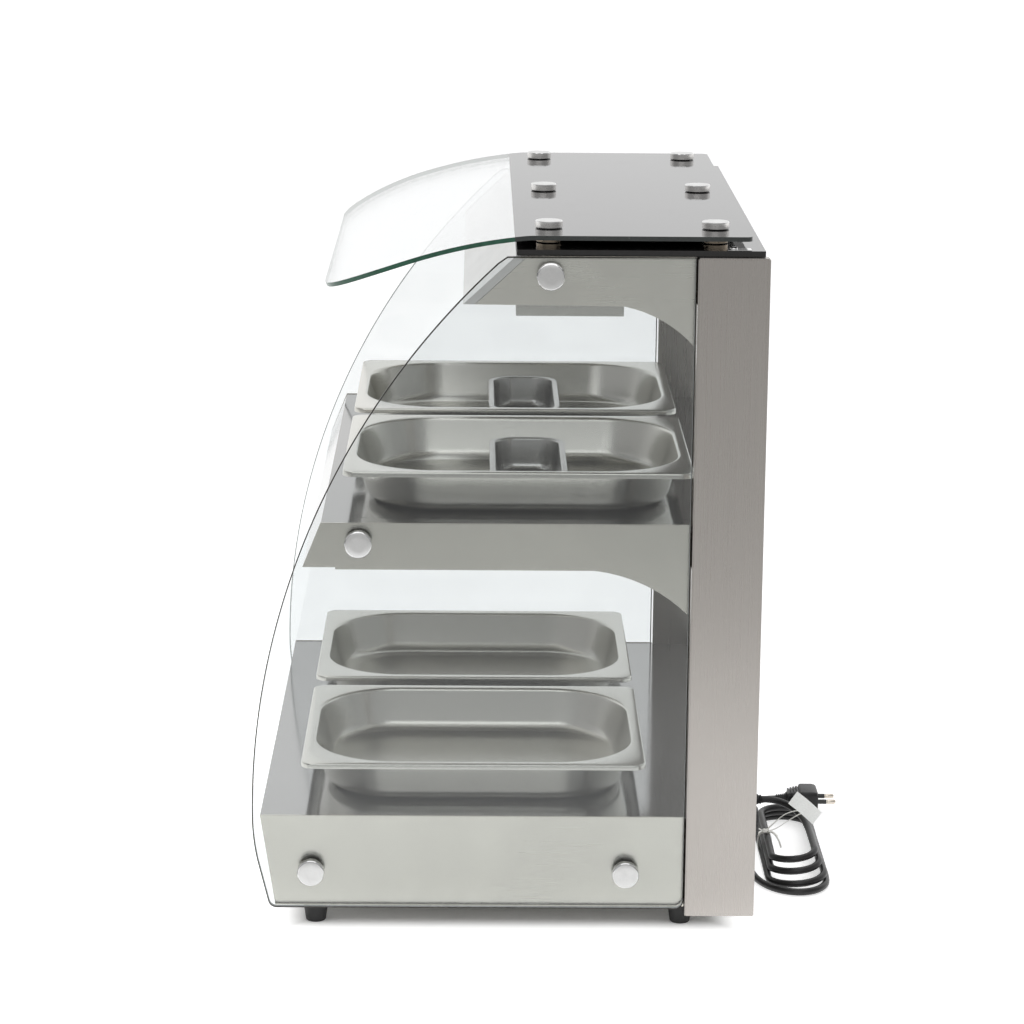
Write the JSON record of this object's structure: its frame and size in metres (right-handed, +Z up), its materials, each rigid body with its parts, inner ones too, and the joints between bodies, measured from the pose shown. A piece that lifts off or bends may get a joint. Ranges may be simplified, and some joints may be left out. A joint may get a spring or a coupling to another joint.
{
  "type": "hot food display case",
  "caption": "Countertop heated food display with an open front, a slotted mid shelf, a heated hood, curved glass, sliding rear doors, gastronorm pans and a mains lead.",
  "frame": {"origin": "centre of the footprint without the mains lead, on the surface that the feet stand on", "axes": "+X to the customer's right, -Y towards the customer, +Y towards the operator's sliding doors, +Z up"},
  "size_m": [0.64, 0.5863, 0.6675],
  "materials": {
    "body_steel": "brushed stainless steel sheet",
    "deck_steel": "polished stainless steel sheet",
    "pan_steel": "pressed stainless steel, satin inside and out",
    "element_sheath": "darkened steel sheath",
    "electrics": "zinc-plated steel can",
    "satin_metal": "satin turned or drawn metal",
    "clear_glass": "clear toughened glass with green edges; the rear part of the top glass is printed black underneath",
    "black_glass": "black glossy glass",
    "lamp_glass": "quartz tube with ceramic ends",
    "rubber": "black moulded rubber",
    "black_plastic": "black moulded plastic",
    "red_rocker": "red translucent rocker",
    "green_rocker": "green translucent rocker",
    "cord_jacket": "black flexible cable sheath"
  },
  "bodies": {
    "case": {"base_side_panel_left": "body_steel", "base_side_panel_right": "body_steel", "base_bottom_plate": "body_steel", "control_panel": "body_steel", "shelf_side_panel_left": "body_steel", "shelf_side_panel_right": "body_steel", "shelf_bottom_plate": "body_steel", "hood_side_panel_left": "body_steel", "hood_side_panel_right": "body_steel", "hood_front_panel": "body_steel", "hood_bottom_plate": "body_steel", "lamp_reflector": "body_steel", "base_deck": "deck_steel", "shelf_deck": "deck_steel", "pillar_left": "body_steel", "pillar_right": "body_steel", "foot_front_left": "rubber", "foot_front_right": "rubber", "foot_rear_left": "rubber", "foot_rear_right": "rubber", "base_heating_element": "element_sheath", "shelf_heating_element": "element_sheath", "thermostat": "electrics", "switch_block": "black_plastic", "cable_gland": "black_plastic", "power_plug": "black_plastic", "power_cord": "cord_jacket", "cord_hank": "cord_jacket", "halogen_lamp": "lamp_glass", "top_plate": "black_glass", "canopy_glass": "clear_glass", "canopy_standoff_front_left": "satin_metal", "canopy_standoff_front_middle": "satin_metal", "canopy_standoff_front_right": "satin_metal", "canopy_standoff_rear_left": "satin_metal", "canopy_standoff_rear_middle": "satin_metal", "canopy_standoff_rear_right": "satin_metal", "side_glass_left": "clear_glass", "side_glass_right": "clear_glass", "side_fixing_hood_left": "satin_metal", "side_fixing_hood_right": "satin_metal", "side_fixing_shelf_left": "satin_metal", "side_fixing_shelf_right": "satin_metal", "side_fixing_base_front_left": "satin_metal", "side_fixing_base_front_right": "satin_metal", "side_fixing_base_rear_left": "satin_metal", "side_fixing_base_rear_right": "satin_metal", "door_track_bottom": "satin_metal", "door_track_top": "satin_metal"},
    "pan_lower_left": {"pan_lower_left": "pan_steel"},
    "pan_lower_right": {"pan_lower_right": "pan_steel"},
    "pan_upper_left": {"pan_upper_left": "pan_steel"},
    "pan_upper_right": {"pan_upper_right": "pan_steel"},
    "cup_left": {"cup_left": "pan_steel"},
    "cup_right": {"cup_right": "pan_steel"},
    "rear_door_left": {"rear_door_left": "clear_glass"},
    "rear_door_right": {"rear_door_right": "clear_glass"},
    "knob": {"thermostat_knob": "black_plastic"},
    "heat_rocker": {"heat_switch": "red_rocker"},
    "light_rocker": {"light_switch": "green_rocker"}
  },
  "joints": [
    {"name": "pan_lower_left_slide", "type": "slide", "parent": "case", "child": "pan_lower_left", "axis": [0, -1, 0], "range_m": [0, 0.38]},
    {"name": "pan_lower_right_slide", "type": "slide", "parent": "case", "child": "pan_lower_right", "axis": [0, -1, 0], "range_m": [0, 0.38]},
    {"name": "pan_upper_left_slide", "type": "slide", "parent": "case", "child": "pan_upper_left", "axis": [0, -1, 0], "range_m": [0, 0.4]},
    {"name": "pan_upper_right_slide", "type": "slide", "parent": "case", "child": "pan_upper_right", "axis": [0, -1, 0], "range_m": [0, 0.4]},
    {"name": "cup_left_lift", "type": "slide", "parent": "pan_upper_left", "child": "cup_left", "axis": [0, 0, 1], "range_m": [0, 0.1]},
    {"name": "cup_right_lift", "type": "slide", "parent": "pan_upper_right", "child": "cup_right", "axis": [0, 0, 1], "range_m": [0, 0.1]},
    {"name": "rear_door_left_slide", "type": "slide", "parent": "case", "child": "rear_door_left", "axis": [1, 0, 0], "range_m": [0, 0.285]},
    {"name": "rear_door_right_slide", "type": "slide", "parent": "case", "child": "rear_door_right", "axis": [-1, 0, 0], "range_m": [0, 0.285]},
    {"name": "knob_turn", "type": "hinge", "parent": "case", "child": "knob", "pos_m": [0.183, 0.234, 0.068], "axis": [0, -1, 0], "range_deg": [0, 270]},
    {"name": "heat_rocker_tilt", "type": "hinge", "parent": "case", "child": "heat_rocker", "pos_m": [0.09, 0.2245, 0.068], "axis": [1, 0, 0], "range_deg": [0, 16]},
    {"name": "light_rocker_tilt", "type": "hinge", "parent": "case", "child": "light_rocker", "pos_m": [0.116, 0.2245, 0.068], "axis": [1, 0, 0], "range_deg": [0, 16]}
  ]
}
